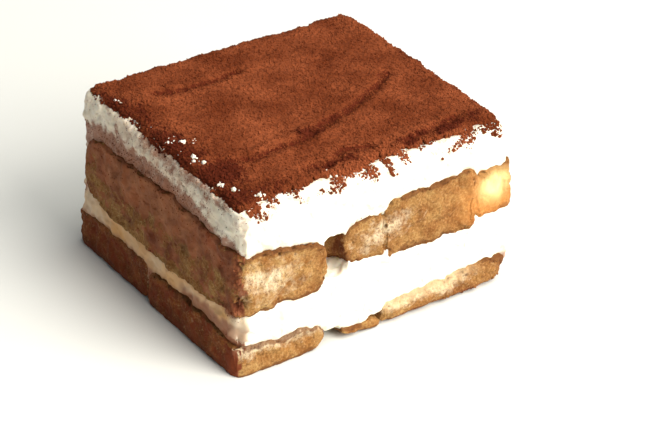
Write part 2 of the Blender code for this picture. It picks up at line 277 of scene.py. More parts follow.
def cocoa_fall(x, y, z, nx, ny):
    """How thickly cocoa has fallen on the cuts, or been dragged down them by the knife."""
    left = on_left_cut(x, nx, 0.3)
    front = smooth_step(0.3, 0.7, -ny)
    y = y + 3.5 * wander(x, y, z, 14.0, 1)
    z = z + 1.6 * wander(x, y, z, 9.0, 2) + 0.7 * wander(x, y, z, 3.5, 3)
    corner = smooth_step(-44.0, -46.0, x + 0.8 * wander(x, y, z, 4.0, 6))
    rim = smooth_step(43.0, 48.0, z) * (0.2 + 0.35 * band(-24.0, 8.0, 10.0, y))
    cream = band(35.0, 44.0, 2.0, z) * (0.1 + 0.3 * band(-18.0, 20.0, 9.0, y))
    # The skirt of smeared powder over the upper finger climbs highest halfway along the cut.
    reach = 38.5 + 4.5 * band(-15.0, 28.0, 10.0, y)
    skirt = 1.1 * smooth_step(2.2, -2.2, z - reach) * smooth_step(32.0, 34.0, z) * band(-24.0, 34.0, 6.0, y)
    top_sponge = band(29.0, 36.0, 3.0, z) * (0.6 + 0.35 * band(-34.0, 26.0, 8.0, y))
    top_sponge = top_sponge * np.maximum(smooth_step(-35.0, -27.0, y), smooth_step(38.0, 35.5, z))
    body = band(20.0, 30.0, 3.0, z) * (0.4 + 0.45 * smooth_step(-0.4, 0.7, wander(x, y, z, 12.0, 8)))
    low = band(0.0, 9.0, 2.0, z) * (0.5 + 0.35 * smooth_step(-30.0, -36.0, y))
    on_left = np.maximum.reduce([rim, cream, skirt, top_sponge, body, low])
    on_front = corner * band(19.0, 31.0, 1.0, z) * 0.6
    on_front = np.maximum(on_front, smooth_step(44.5, 48.0, z) * 0.3)
    on_front = np.maximum(on_front, smooth_step(-38.0, -44.5, x) * smooth_step(40.0, 46.0, z) * 0.4)
    return np.clip(left * on_left + front * on_front, 0.0, 1.0)


def cocoa_film(x, y, z, nx, ny):
    """How strongly the finest dust tints the left cut, with base values that darken all of it as painted
    shade.
    """
    left = on_left_cut(x, nx)
    y = y + 3.0 * wander(x, y, z, 12.0, 9)
    z = z + 1.0 * wander(x, y, z, 7.0, 10)
    near_corner = smooth_step(-18.0, -30.0, y)
    # Painted shade: the base values 0.3 above and 0.1 below darken the whole left cut, beyond its dust.
    upper = (0.3 + 0.45 * band(-12.0, 22.0, 8.0, y)) * (0.6 + 0.6 * smooth_step(44.0, 38.0, z))
    upper = upper * (1.0 - 0.75 * near_corner)
    lower = 0.1 + 0.2 * smooth_step(16.0, 12.0, z)
    step = smooth_step(22.0, 30.0, z)
    return np.clip(left * (step * upper + (1.0 - step) * lower), 0.0, 1.0)


def coffee_tint(x, y, z, nx, ny):
    """Where coffee has spread evenly through the cream between two layers of sponge."""
    left = on_left_cut(x, nx)
    uneven = 0.8 + 0.2 * wander(x, y, z, 10.0, 22)
    ends = (1.0 - 0.5 * smooth_step(28.0, 36.0, y)) * (1.0 - 0.6 * smooth_step(-32.0, -37.0, y))
    return np.clip(left * smooth_step(30.0, 22.0, z) * uneven * ends, 0.0, 1.0)


def coffee_stain(x, y, z, nx, ny):
    """Where coffee from the lowest fingers has crept up into the cream."""
    left = on_left_cut(x, nx)
    height = z + 0.8 * wander(x, y, z, 7.0, 18) + 0.5 * wander(x, y, z, 2.5, 19)
    climb = 2.2 * smooth_step(-5.0, -25.0, y)
    stain = left * smooth_step(13.2, 10.6, height - climb) * (1.0 - 0.6 * smooth_step(-33.0, -38.0, y))
    end = smooth_step(42.0, 45.5, x) * smooth_step(10.5, 6.5, height) * smooth_step(-15.0, -30.0, y)
    return np.maximum(stain, 0.8 * end)


CUT_MASKS = {"cocoa_fall": cocoa_fall, "cocoa_film": cocoa_film, "stain": coffee_stain, "tint": coffee_tint}
print(len(CUT_MASKS), "masks for the cuts")

# %% [markdown]
# ## Mascarpone cream
#
# The cream is mascarpone whipped with egg and sugar: a dense foam, ivory, with a dull shine. Light
# goes a few millimetres into it and comes back warm, which subsurface scattering gives. Where cocoa
# has fallen on it, the powder sits in specks and smears. The specks could be separate grains
# everywhere; the finest are far under a tenth of a millimetre, so they are drawn in the colour, and
# only the clumps become geometry later. Colours are laid over one another like coats of paint.

# %% Mascarpone cream


def start_material(name, *masks):
    """A new material, its tree, its shader, the place on the object that patterns read, and the
    masks by name."""
    material = bpy.data.materials.new(name)
    material.use_nodes = True
    tree = material.node_tree
    add = partial(add_node, tree)
    place = add("ShaderNodeTexCoord").outputs["Object"]
    masks = {mask: add("ShaderNodeAttribute", attribute_name=mask).outputs["Fac"] for mask in masks}
    return material, tree, tree.nodes["Principled BSDF"], place, masks


def finish_material(tree, shader, colour, bump, values):
    """Links the colour and the bump, and sets the values that are the same all over."""
    tree.links.new(next(output for output in colour.outputs if output.enabled), shader.inputs["Base Color"])
    tree.links.new(bump.outputs[0], shader.inputs["Normal"])
    for name, value in values.items():
        shader.inputs[name].default_value = value


def lay_over(tree, base, *layers):
    """Lays colours over the base. Each layer is how much of it shows, and its colour."""
    for share, colour in layers:
        inputs = {"Factor_Float": share, "A_Color": base, "B_Color": colour}
        base = add_node(tree, "ShaderNodeMix", inputs, data_type="RGBA")
    return base


def powder_cover(tree, place, amount, scale, softness):
    """Nodes for powder that covers the given share of a surface, in clouds that break into specks."""
    add = partial(add_node, tree)
    noise = add(NOISE, {"Vector": place, "Scale": scale, "Detail": 5.0, "Roughness": 0.72})
    even = add(RANGE, {"Value": noise, "From Min": 0.3, "From Max": 0.7})
    over = add(MATH, [even, amount], operation="ADD")
    inputs = {"Value": over, "From Min": 1.0 - softness, "From Max": 1.0 + softness}
    cover = add(RANGE, inputs, interpolation_type="SMOOTHSTEP")
    some = add(MATH, [amount, 0.02], operation="GREATER_THAN")
    return add(MATH, [cover, some], operation="MULTIPLY")


def whipped_cream():
    """Whipped mascarpone: ivory foam, soft and slightly damp, specked with cocoa where it fell."""
    names = ("cocoa_fall", "cocoa_film", "tint", "stain")
    material, tree, shader, place, masks = start_material("whipped mascarpone cream", *names)
    add = partial(add_node, tree)
    # Folds of slightly yellower cream, about 9 mm apart, where the egg isn't mixed in evenly.
    folds = add(NOISE, {"Vector": place, "Scale": 110.0, "Detail": 3.0})
    # A thin film of the finest dust tints the cream between the specks, in clouds of 3 mm. The same mask
    # also darkens the cream over the whole left cut, as painted shade.
    clouds = add(NOISE, {"Vector": place, "Scale": 320.0, "Detail": 5.0, "Roughness": 0.65})
    clouds = add(RANGE, {"Value": clouds, "From Min": 0.35, "From Max": 0.65, "To Min": 0.35})
    film_and_shade = add(MATH, [masks["cocoa_film"], clouds], operation="MULTIPLY")
    # Specks: real grains are finer still, and are drawn as coarse as they need to be seen.
    cover = powder_cover(tree, place, masks["cocoa_fall"], 330.0, 0.35)
    cover = add(MATH, [cover, 0.85], operation="MULTIPLY")
    coffee = ((masks["tint"], "DDA866"), (film_and_shade, "B98559"), (masks["stain"], "A36C4C"))
    colour = lay_over(tree, "F3EDDC", (folds, "ECE2CA"), *coffee, (cover, "8E4C2A"))
    # Powder doesn't let the light in, so the glow from inside stops where it lies.
    glow = add(RANGE, {"Value": cover, "To Min": 0.35, "To Max": 0.0})
    tree.links.new(glow.outputs[0], shader.inputs["Subsurface Weight"])
    fine = add(NOISE, {"Vector": place, "Scale": 900.0, "Detail": 4.0})
    bump = add("ShaderNodeBump", {"Height": fine, "Strength": 0.25, "Distance": 0.25 * MM})
    values = {"Roughness": 0.55, "IOR": 1.45, "Subsurface Scale": 1.6 * MM}
    values["Subsurface Radius"] = (1.0, 0.75, 0.45)
    finish_material(tree, shader, colour, bump, values)
    return material


CREAM = whipped_cream()
print("made", CREAM.name)

# %% [markdown]
# ## Sponge
#
# A sponge finger is a dry, airy biscuit that soaks up coffee. Cut through, it shows a pale crumb
# full of pores and a thin, darker crust round its outline. Attributes from the modelling step carry
# that into the colour: how deep a point lies in a pore, which is painted dark as its shade, how near
# it is to the crust, and how much the crumb is darkened by coffee and by painted shade. Painting a
# texture would need a map for each of eight pieces; layers of colour that read the attributes do it
# for all of them.

# %% Sponge


def soaked_sponge():
    """Sponge finger dipped in coffee: honey-brown crumb, pores painted dark as shade, a browner crust, and
    painted shade and a painted highlight.
    """
    names = "cocoa_fall cocoa_film pore crust coffee creamy toast custard caramel pale".split()
    material, tree, shader, place, masks = start_material("coffee-soaked sponge finger", *names)
    add = partial(add_node, tree)

    # Wetter and drier patches of crumb, 3 to 4 mm across.
    patches = add(NOISE, {"Vector": place, "Scale": 230.0, "Detail": 4.0})
    spread = add(RANGE, {"Value": patches, "From Min": 0.38, "From Max": 0.64})
    clouds = add(NOISE, {"Vector": place, "Scale": 130.0, "Detail": 5.0, "Roughness": 0.6})
    clouds = add(RANGE, {"Value": clouds, "From Min": 0.4, "From Max": 0.62, "To Max": 0.5})
    # Browner crumb, laid on as painted shade.
    shaded_crumb = lay_over(tree, "7A4A1D", (spread, "966630"))
    # The dark soaked colour, also painted into the hollow between the upper fingers as shade.
    soaked = lay_over(tree, "6A300A", (spread, "8E4E1C"))
    smeared = powder_cover(tree, place, masks["creamy"], 350.0, 0.6)
    # The crumb's own grain, about 0.5 mm: cells painted dark as shade, and walls painted lighter where they
    # would catch the light.
    grain = add(NOISE, {"Vector": place, "Scale": 1500.0, "Detail": 4.0, "Roughness": 0.75})
    dark = add(RANGE, {"Value": grain, "From Min": 0.5, "From Max": 0.36, "To Max": 0.7})
    light = add(RANGE, {"Value": grain, "From Min": 0.54, "From Max": 0.68, "To Max": 0.42})
    crust = powder_cover(tree, place, masks["crust"], 500.0, 0.35)
    crust = add(MATH, [crust, 0.8], operation="MULTIPLY")
    # Pores and dents are painted dark, as the shade inside them.
    pore = add(MATH, [masks["pore"], 0.8], operation="MULTIPLY")
    # The crumb is painted browner as shade towards the right end, where the lamp falls strongest, and on the
    # upper sponge of the left cut.
    crumb = lay_over(tree, "93622A", (spread, "B08A52"), (clouds, "84501F"), (masks["toast"], shaded_crumb))
    crumb = lay_over(tree, crumb, (masks["coffee"], soaked), (smeared, "DFCDAC"), (dark, "5C3714"))
    crumb = lay_over(tree, crumb, (light, "CDAF7C"), (crust, "663A13"), (pore, "4E2A10"))
    # The end finger gets a painted highlight: an orange halo and a pale yellow middle, where the lamp's
    # hotspot falls.
    crumb = lay_over(tree, crumb, (masks["pale"], "D8BC90"), (masks["caramel"], "E08A3A"))
    crumb = lay_over(tree, crumb, (masks["custard"], "F2DC98"))
    # Cocoa on the cut: clouds of powder that break into streaks.
    cover = powder_cover(tree, place, masks["cocoa_fall"], 330.0, 0.25)
    cover = add(MATH, [cover, 0.9], operation="MULTIPLY")
    deep = add(MATH, [clouds, 1.7], operation="MULTIPLY", use_clamp=True)
    thin = add(MATH, [spread, 0.4], operation="MULTIPLY")
    # Where the film mask is high, on the upper sponge of the left cut, the dust is painted lighter: painted
    # light against the shade under the cream's overhang.
    painted_light = add(MATH, [masks["cocoa_film"], 0.35], operation="MULTIPLY")
    dust = lay_over(tree, "944A28", (thin, "B8805E"), (deep, "5E2610"), (painted_light, "B07650"))
    dust = lay_over(tree, dust, (masks["coffee"], "7A3210"))
    colour = lay_over(tree, crumb, (cover, dust))
    bump = add("ShaderNodeBump", {"Height": grain, "Strength": 0.8, "Distance": 0.35 * MM})
    values = {"Roughness": 0.75, "Specular IOR Level": 0.25, "Subsurface Weight": 0.12}
    values.update({"Subsurface Radius": (1.0, 0.5, 0.2), "Subsurface Scale": 0.8 * MM})
    finish_material(tree, shader, colour, bump, values)
    return material


SPONGE = soaked_sponge()
print("made", SPONGE.name)

# %% [markdown]
# ## Cocoa
#
# Cocoa is a dry powder, sieved on in a coat about a millimetre thick. Powder has no shine at all.
# Its colour changes with what is under it: thick and dry it is a warm red-brown, and where damp
# cream has soaked through it turns almost to chocolate. One flat brown would look like plastic, so
# every grain gets its own tone, with dark gaps between.

# %% Cocoa


def cocoa_powder():
    """Sieved cocoa: dead matt red-brown powder, darker where it has taken up moisture, and painted dark in
    the furrows as their shade.
    """
    material, tree, shader, place, masks = start_material("sieved cocoa powder", "damp")
    add = partial(add_node, tree)
    drifts = add(NOISE, {"Vector": place, "Scale": 80.0, "Detail": 4.0})
    spread = add(RANGE, {"Value": drifts, "From Min": 0.35, "From Max": 0.65})
    # Grains of about 0.5 mm, each with its own tone, and darker gaps between them.
    grains = add(CELLS, {"Vector": place, "Scale": 1900.0})
    tone = add(SPLIT, {"Vector": grains.outputs["Color"]})
    tone = add(MATH, [tone, 0.4], operation="MULTIPLY")
    clumps = add(NOISE, {"Vector": place, "Scale": 1100.0, "Detail": 4.0, "Roughness": 0.8})
    gaps = add(RANGE, {"Value": clumps, "From Min": 0.5, "From Max": 0.36, "To Max": 0.6})
    dry = lay_over(tree, "6E3318", (spread, "944E2D"), (tone, "4A1F10"), (gaps, "44190B"))
    # The damp colour, which is also painted into the furrows as the shade in their grooves.
    wet_and_shaded = lay_over(tree, "54200F", (gaps, "350F07"))
    soaked = powder_cover(tree, place, masks["damp"], 650.0, 0.3)
    colour = lay_over(tree, dry, (soaked, wet_and_shaded))
    lumps = add(MATH, [grains.outputs["Distance"], -0.5, clumps], operation="MULTIPLY_ADD")
    bump = add("ShaderNodeBump", {"Height": lumps, "Strength": 0.8, "Distance": 0.3 * MM})
    finish_material(tree, shader, colour, bump, {"Roughness": 1.0, "Specular IOR Level": 0.1})
    return material


COCOA = cocoa_powder()
print("made", COCOA.name)

# %% [markdown]
# ## From solid to skin
#
# A solid of the frame has large flat faces. A crumb needs points a third of a millimetre apart, and
# evenly spread. Subdividing would keep the long thin triangles, so the copy goes through a voxel
# remesh, which lays one even net over the whole form. A Geometry Nodes tree then softens the net's
# steps and presses the relief into it, and new_from_object turns the result into a plain mesh.

# %% Helpers for skins
VOXEL = 0.36 * MM
# Fingers that lie side by side have swollen into one another at the long cut. A bridge is a block
# of crumb over such a seam: from and to in x and z, and where its face lies at its foot and head.
BRIDGES = {
    "sponge_upper_right": (1.2, 4.6, 21.6, 35.4, -37.75, -37.25),
    "sponge_upper_end": (31.6, 36.0, 23.6, 35.8, -38.2, -37.75),
}
BRIDGE_BACK = -34.0
SOCKET_KINDS = {float: "Float", int: "Int", tuple: "Vector", str: "String"}


def add_bridge(bm, low_x, high_x, low_z, high_z, foot_y, head_y):
    outline = ((foot_y, low_z), (head_y, high_z), (BRIDGE_BACK, high_z), (BRIDGE_BACK, low_z))
    rings = [[bm.verts.new((x * MM, y * MM, z * MM)) for y, z in outline] for x in (low_x, high_x)]
    faces = [bm.faces.new(rings[0]), bm.faces.new(rings[1][::-1])]
    for i in range(4):
        j = (i + 1) % 4
        faces.append(bm.faces.new((rings[0][j], rings[0][i], rings[1][i], rings[1][j])))
    bmesh.ops.recalc_face_normals(bm, faces=faces)


def joined_copy(name, node_names, bridge=None):
    """One mesh object of the named solids, with their loose triangles merged."""
    bm = bmesh.new()
    for node_name in node_names:
        bm.from_mesh(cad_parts[node_name].data)
    bmesh.ops.remove_doubles(bm, verts=bm.verts[:], dist=0.001 * MM)
    if bridge:
        add_bridge(bm, *bridge)
    return mesh_object(name, bm)


def start_tree(name, sockets):
    """A Geometry Nodes tree with these named inputs, a maker of nodes for it, and its inputs'
    outlets. A value is an input's default, and a Blender type says what the input takes."""
    tree = bpy.data.node_groups.new(name, "GeometryNodeTree")
    tree.interface.new_socket("Geometry", in_out="INPUT", socket_type="NodeSocketGeometry")
    tree.interface.new_socket("Geometry", in_out="OUTPUT", socket_type="NodeSocketGeometry")
    for label, value in sockets.items():
        kind = value.__name__ if isinstance(value, type) else SOCKET_KINDS[type(value)]
        socket = tree.interface.new_socket(label, in_out="INPUT", socket_type="NodeSocket" + kind)
        if not isinstance(value, type):
            socket.default_value = value
    return tree, partial(add_node, tree), add_node(tree, "NodeGroupInput").outputs


def end_tree(tree, geometry, material):
    """Makes instances real and sets the material, because the export needs both."""
    real = add_node(tree, "GeometryNodeRealizeInstances", {"Geometry": geometry})
    painted = add_node(tree, "GeometryNodeSetMaterial", {"Geometry": real, "Material": material})
    add_node(tree, "NodeGroupOutput", {"Geometry": painted})
    print("the tree", tree.name, "has", len(tree.nodes), "nodes")
    return tree


def make_plain(piece):
    """Makes what the modifiers give the piece's own plain mesh."""
    graph = bpy.context.evaluated_depsgraph_get()
    mesh = bpy.data.meshes.new_from_object(piece.evaluated_get(graph))
    piece.modifiers.clear()
    piece.data = mesh
    mesh.name = piece.name


def run_tree(piece, tree, values):
    """Runs the tree on the piece with these inputs."""
    modifier = piece.modifiers.new(tree.name, "NODES")
    modifier.node_group = tree
    for item in tree.interface.items_tree:
        if item.in_out == "INPUT" and item.name in values:
            modifier[item.identifier] = values[item.name]
    make_plain(piece)


print("a skin's points lie", VOXEL / MM, "mm apart")

# %% [markdown]
# ## The relief of cream and sponge
#
# Both skins are made by one kind of tree: soften, close up to the neighbours, press in the relief.
# The neighbours matter because the solids keep a small clearance, while real cream clings to the
# sponge. Geometry Proximity finds how far away the next solid is, and points that face it move over
# to it. What they hide is left smooth, and only the open surface gets its pores. A displacement
# texture could do the relief alone, but it knows nothing of the neighbours.

# %% Unevenness and pores
UNEVENNESS = ((7.0 * MM, 0.75 * MM), (2.4 * MM, 0.34 * MM))


def add_unevenness(add, here):
    """Nodes for a small sideways shift of every point. It depends on the place alone, so that
    neighbours shift together and their seams stay closed while they stop being straight."""
    total = (0.0, 0.0, 0.0)
    for size, amount in UNEVENNESS:
        noise = add(NOISE, {"Vector": here, "Scale": 1.0 / size, "Detail": 2.0})
        centred = add(VECTOR, [noise.outputs["Color"], (0.5, 0.5, 0.5)], operation="SUBTRACT")
        scaled = add(VECTOR, {0: centred, "Scale": 4.0 * amount}, operation="SCALE")
        total = add(VECTOR, [total, scaled], operation="ADD")
    # The base stays flat: the shift fades out over the lowest 3 mm. The top shifts up and down less.
    height = add(SPLIT, {"Vector": here}).outputs["Z"]
    fade = add(RANGE, {"Value": height, "From Max": 3.0 * MM})
    inputs = {"Value": height, "From Min": 43.0 * MM, "From Max": 47.0 * MM, "To Min": 1.0, "To Max": 0.3}
    lift = add(JOIN, {"X": 1.0, "Y": 1.0, "Z": add(RANGE, inputs)})
    total = add(VECTOR, [total, lift], operation="MULTIPLY")
    return add(VECTOR, {0: total, "Scale": fade}, operation="SCALE")


def add_pores(add, given, sample, gap):
    """Nodes for round hollows of mixed sizes. Each Voronoi cell holds one, and its random colour
    sets how wide it is, or that there is none."""
    inputs = {"Value": gap, "From Min": 0.5 * MM, "From Max": 3.0 * MM, "To Min": 1.0}
    rimness = add(RANGE, {**inputs, "To Max": given["Inner pores"]})
    sunk = 0.0
    for times, share in ((1.0, given["Pore share"]), (2.3, given["Big pores"])):
        cell = add(MATH, [given["Pore size"], times], operation="MULTIPLY")
        cell_scale = add(MATH, [1.0, cell], operation="DIVIDE")
        cells = add(CELLS, {"Vector": sample, "Scale": cell_scale, "Randomness": 1.0})
        luck = add(SPLIT, {"Vector": cells.outputs["Color"]})
        keep = add(MATH, [share, rimness], operation="MULTIPLY")
        width = add(MATH, [keep, luck.outputs["X"]], operation="SUBTRACT")
        width = add(RANGE, {"Value": width, "From Max": 0.6, "To Max": 0.55})
        hollow = add(MATH, [cells.outputs["Distance"], width], operation="SUBTRACT")
        inputs = {"Value": hollow, "From Min": 0.02, "From Max": -0.28}
        hollow = add(RANGE, inputs, interpolation_type="SMOOTHSTEP")
        sunk = add(MATH, [sunk, hollow], operation="MAXIMUM")
    return sunk


print("edges wander by", [round(amount / MM, 2) for _, amount in UNEVENNESS], "mm")

# %% The tree for a skin
# What the tree takes, with the values for sponge.
SKIN_INPUTS = {
    "Neighbours": bpy.types.Object,
    "Material": bpy.types.Material,
    "Softening": 3,
    "Reach": 4.5 * MM,
    "Share": 0.5,
    "Bite": 0.2 * MM,
    "Wave size": 3.0 * MM,
    "Wave height": 0.25 * MM,
    "Drag": (1.0, 1.0, 1.0),
    "Pore size": 0.9 * MM,
    "Pore depth": 0.6 * MM,
    "Pore share": 0.8,
    "Big pores": 0.45,
    "Inner pores": 0.45,
    "Seed": 0.0,
}


def skin_tree():
    tree, add, given = start_tree("skin", SKIN_INPUTS)
    here = add("GeometryNodeInputPosition")
    blurred = add(BLUR, {"Value": here, "Iterations": given["Softening"]}, data_type="FLOAT_VECTOR")
    soft = add(MOVE, {"Geometry": given["Geometry"], "Position": blurred})

    # How far the next solid is, and whether a point faces it.
    others = add("GeometryNodeObjectInfo", {"Object": given["Neighbours"]}).outputs["Geometry"]
    nearest = add("GeometryNodeProximity", {"Target": others}, target_element="FACES")
    gap = nearest.outputs["Distance"]
    way = add(VECTOR, [nearest.outputs["Position"], here], operation="SUBTRACT")
    way = add(VECTOR, [way], operation="NORMALIZE")
    normal = add("GeometryNodeInputNormal")
    facing = add(VECTOR, [way, normal], operation="DOT_PRODUCT").outputs["Value"]
    inputs = {"Value": facing, "From Min": 0.35, "From Max": 0.8}
    facing = add(RANGE, inputs, interpolation_type="SMOOTHSTEP")
    almost = add(MATH, [given["Reach"], 0.6], operation="MULTIPLY")
    is_near = add(RANGE, {"Value": gap, "From Min": given["Reach"], "From Max": almost})
    pulled = add(MATH, [facing, is_near], operation="MULTIPLY")
    is_shut = add(RANGE, {"Value": gap, "From Min": 1.2 * MM, "From Max": 0.7 * MM})
    covered = add(MATH, [facing, is_shut], operation="MULTIPLY")
    for name, value in (("covered", covered), ("gap", gap)):
        soft = add(STORE, {"Geometry": soft, "Name": name, "Value": value})
    reach = add(MATH, [gap, given["Share"], given["Bite"]], operation="MULTIPLY_ADD")
    reach = add(MATH, [reach, pulled], operation="MULTIPLY")
    step = add(VECTOR, {0: way, "Scale": reach}, operation="SCALE")
    closed = add(MOVE, {"Geometry": soft, "Offset": step})

    # Waves and pores, pressed in where the surface is open.
    seeded = add(JOIN, {"X": given["Seed"], "Y": given["Seed"]})
    sample = add(VECTOR, [here, seeded], operation="ADD")
    dragged = add(VECTOR, [sample, given["Drag"]], operation="MULTIPLY")
    wave_scale = add(MATH, [1.0, given["Wave size"]], operation="DIVIDE")
    waves = add(NOISE, {"Vector": dragged, "Scale": wave_scale, "Detail": 3.0, "Roughness": 0.5})
    waves = add(RANGE, {"Value": waves, "From Min": 0.2, "From Max": 0.8, "To Min": -1.0})
    waves = add(MATH, [waves, given["Wave height"]], operation="MULTIPLY")
    sunk = add_pores(add, given, sample, add(STORED, {"Name": "gap"}))
    depth = add(MATH, [sunk, given["Pore depth"]], operation="MULTIPLY")
    height = add(MATH, [waves, depth], operation="SUBTRACT")
    bare = add(MATH, [1.0, add(STORED, {"Name": "covered"})], operation="SUBTRACT")
    height = add(MATH, [height, bare], operation="MULTIPLY")
    marked = add(STORE, {"Geometry": closed, "Name": "pore", "Value": sunk})
    step = add(VECTOR, {0: normal, "Scale": height}, operation="SCALE")
    pressed = add(MOVE, {"Geometry": marked, "Offset": step})
    pressed = add(MOVE, {"Geometry": pressed, "Offset": add_unevenness(add, here)})

    # Nothing goes through the base.
    parts = add(SPLIT, {"Vector": here}).outputs
    above = add(MATH, [parts["Z"], 0.0], operation="MAXIMUM")
    kept = add(JOIN, {"X": parts["X"], "Y": parts["Y"], "Z": above})
    standing = add(MOVE, {"Geometry": pressed, "Position": kept})
    smooth = add("GeometryNodeSetShadeSmooth", {"Geometry": standing})
    return end_tree(tree, smooth, given["Material"])


SKIN = skin_tree()

# %% [markdown]
# ## Where the sponge differs
#
# No two fingers look alike: one is smeared with cream, one has a yellow painted highlight where the
# lamp's hotspot falls, the lowest are darker at their foot and on the left cut, and crumbs have
# broken out of the edges. Painted shade browns the right end, nearest the lamp, the upper sponge of
# the left cut, and the hollow between the upper fingers. A brush could paint and carve this. Short
# formulas and a list of dents do the same, and can be read and changed.

# %% Masks and dents of the sponge


def blob(first, second, half_first, half_second):
    """1 in the middle of a soft oval patch, given how far off the middle a point is two ways."""
    return np.exp(-((first / half_first) ** 2) - (second / half_second) ** 2)


def sponge_masks(x, y, z, nx, ny):
    """Where the crumb is soaked or smeared with cream, where painted shade darkens it, and where a painted
    highlight turns it yellow.
    """
    front = np.maximum(smooth_step(0.4, 0.8, -ny), smooth_step(-37.2, -38.4, y + 0.045 * (z - 22.0)))
    left = on_left_cut(x, nx, 0.4, 0.8)
    roam = wander(x, y, z, 8.0, 7)
    low = 1.0 - smooth_step(11.0, 16.0, z)
    right_low = low * smooth_step(-1.0, 2.0, x)
    left_low = low * (1.0 - smooth_step(-1.0, 2.0, x))
    line = 1.0 - smooth_step(1.0, 2.2, z + 0.5 * roam)
    pale = right_low * smooth_step(3.2, 6.6, z - 0.04 * (x - 12.0) + 0.5 * roam) * smooth_step(38.0, 24.0, x)
    foot = smooth_step(40.5, 44.0, x - 0.3 * (z - 4.0) + roam) * low
    # Painted shade: the hollow between the upper left fingers gets the dark soaked colour.
    hollow = band(-20.0, -8.0, 1.5, x) * smooth_step(19.0, 21.0, z) * smooth_step(-25.0, -29.0, y)
    hollow = hollow * smooth_step(0.75, 0.3, -ny) * (1.0 - low)
    # The dark soaked colour goes on the lower sponge of the left cut, a line along the foot of the long cut,
    # the right end's foot, and, as painted shade, the hollow.
    coffee = np.maximum.reduce([left * low, front * line * right_low, front * foot, hollow])
    smear = 0.55 * right_low * smooth_step(2.6, 5.5, z + 0.8 * roam) * smooth_step(36.0, 20.0, x)
    smear = np.maximum(smear, left_low * smooth_step(4.0, 8.5, z + 1.2 * roam) * 0.75)
    smear = np.maximum(smear, 0.75 * blob(x + 37.0, z - 27.0 + roam, 8.0, 3.5))
    smear = np.maximum(smear, 0.7 * blob(x - 3.0 - (z - 30.0), z - 29.5 + roam, 6.5, 3.0))
    # Painted shade: browner towards the right end, where the lamp falls strongest, on the lower right
    # finger, and on the upper sponge of the left cut.
    toast = smooth_step(8.0, 24.0, x + 4.0 * roam) * (1.0 - low) * 0.55
    toast = np.maximum(toast, 0.45 * smooth_step(-30.0, -22.0, x) * (1.0 - low))
    toast = np.maximum(toast, 0.55 * left * (1.0 - low))
    toast = np.maximum(toast, 0.9 * right_low * smooth_step(14.0, 30.0, x + 3.0 * roam))
    return {
        "coffee": coffee,
        "creamy": front * smear,
        "toast": np.maximum(front, left) * toast,
        # Painted highlight: a pale yellow pool with an orange halo, where the lamp's hotspot falls on the
        # end finger.
        "custard": front * np.clip(1.3 * blob(x - 40.0, z - 31.5, 4.8, 3.8), 0.0, 1.0),
        "caramel": front * 0.7 * blob(x - 39.0, z - 29.0, 9.0, 7.0),
        "pale": front * 0.75 * pale,
    }


# Places where the crumb has broken out: middle, radius and depth, in millimetres. The upper left
# finger is open along its top edge, so it gets a row of small ones.
PIT_COUNT = 46
pit_random = np.random.default_rng(5)
PITS = [
    (pit_random.uniform(-44.0, -20.0), -38.2, 36.4 - abs(pit_random.normal(0.0, 1.5)))
    for _ in range(PIT_COUNT)
]
DENTS = [(place, pit_random.uniform(0.35, 0.8), 0.9) for place in PITS] + [
    ((-45.5, -38.0, 22.0), 2.4, 2.6),
    ((-45.8, -37.0, 33.5), 1.6, 1.4),
    ((-41.4, -38.2, 36.0), 1.1, 1.3),
    ((-38.6, -38.2, 36.3), 0.9, 1.1),
    ((-34.8, -38.2, 36.2), 1.2, 1.3),
    ((-31.6, -38.2, 36.4), 0.9, 1.0),
    ((-27.0, -38.0, 36.2), 1.0, 1.0),
    ((2.6, -38.0, 37.4), 1.0, 1.0),
    ((44.0, -38.5, 3.0), 1.5, 1.0),
    ((-46.5, -30.0, 30.0), 1.8, 0.8),
    ((-46.5, -12.0, 27.0), 2.2, 0.8),
    ((-46.5, 6.0, 31.0), 2.0, 0.8),
]


def press_dents(mesh, x, y, z, normals):
    """Presses the dents in, and says how deep in one each point lies, from 0 to 1, which paints the dents
    dark as their shade.
    """
    depth = np.zeros_like(x)
    dark = np.zeros_like(x)
    for (middle_x, middle_y, middle_z), radius, deep in DENTS:
        off = ((x - middle_x) ** 2 + (y - middle_y) ** 2 + (z - middle_z) ** 2) / radius**2
        near = np.exp(-(off**1.5)) * (0.8 + 0.4 * wander(x, y, z, 1.5, 17))
        depth = np.maximum(depth, deep * near)
        dark = np.maximum(dark, min(1.0, 1.1 * deep) * near)
    flat = np.stack([x, y, z]) - depth * np.stack(normals)
    mesh.vertices.foreach_set("co", (flat.T.ravel() * MM).astype(np.float32))
    return np.clip(dark, 0.0, 1.0)


print(len(DENTS), "dents in the sponge")

# %% [markdown]
# ## Dressing the solids
#
# In a real portion cream and crumb cling to one another, and show their own surface only at the
# cuts: firm cream with waves and a few bubbles, sponge full of pores. Ten skins made by hand would
# never meet that well, so all come from one recipe: remesh, tree, masks. The cream's triangles are
# thinned out where the sponge hides them, and it sinks a little under the cocoa, so that the two
# never fight for the same place.

# %% Dress each solid
KEPT_SHARE = 0.4  # of the cream's triangles
SINK = 0.55  # how far the cream goes down under the cocoa, in millimetres
CREAM_SKIN = {
    "Softening": 4,
    "Reach": 1.3 * MM,
    "Share": 1.0,
    "Bite": 0.15 * MM,
    "Wave size": 9.0 * MM,
    "Wave height": 0.35 * MM,
    "Drag": (0.6, 0.6, 2.2),
    "Pore size": 2.2 * MM,
    "Pore depth": 0.35 * MM,
    "Pore share": 0.16,
    "Big pores": 0.0,
    "Inner pores": 1.0,
}
END_REACH = 1.3 * MM  # the end finger stands clear of the cream above it, and doesn't reach for it
PIECES = {}


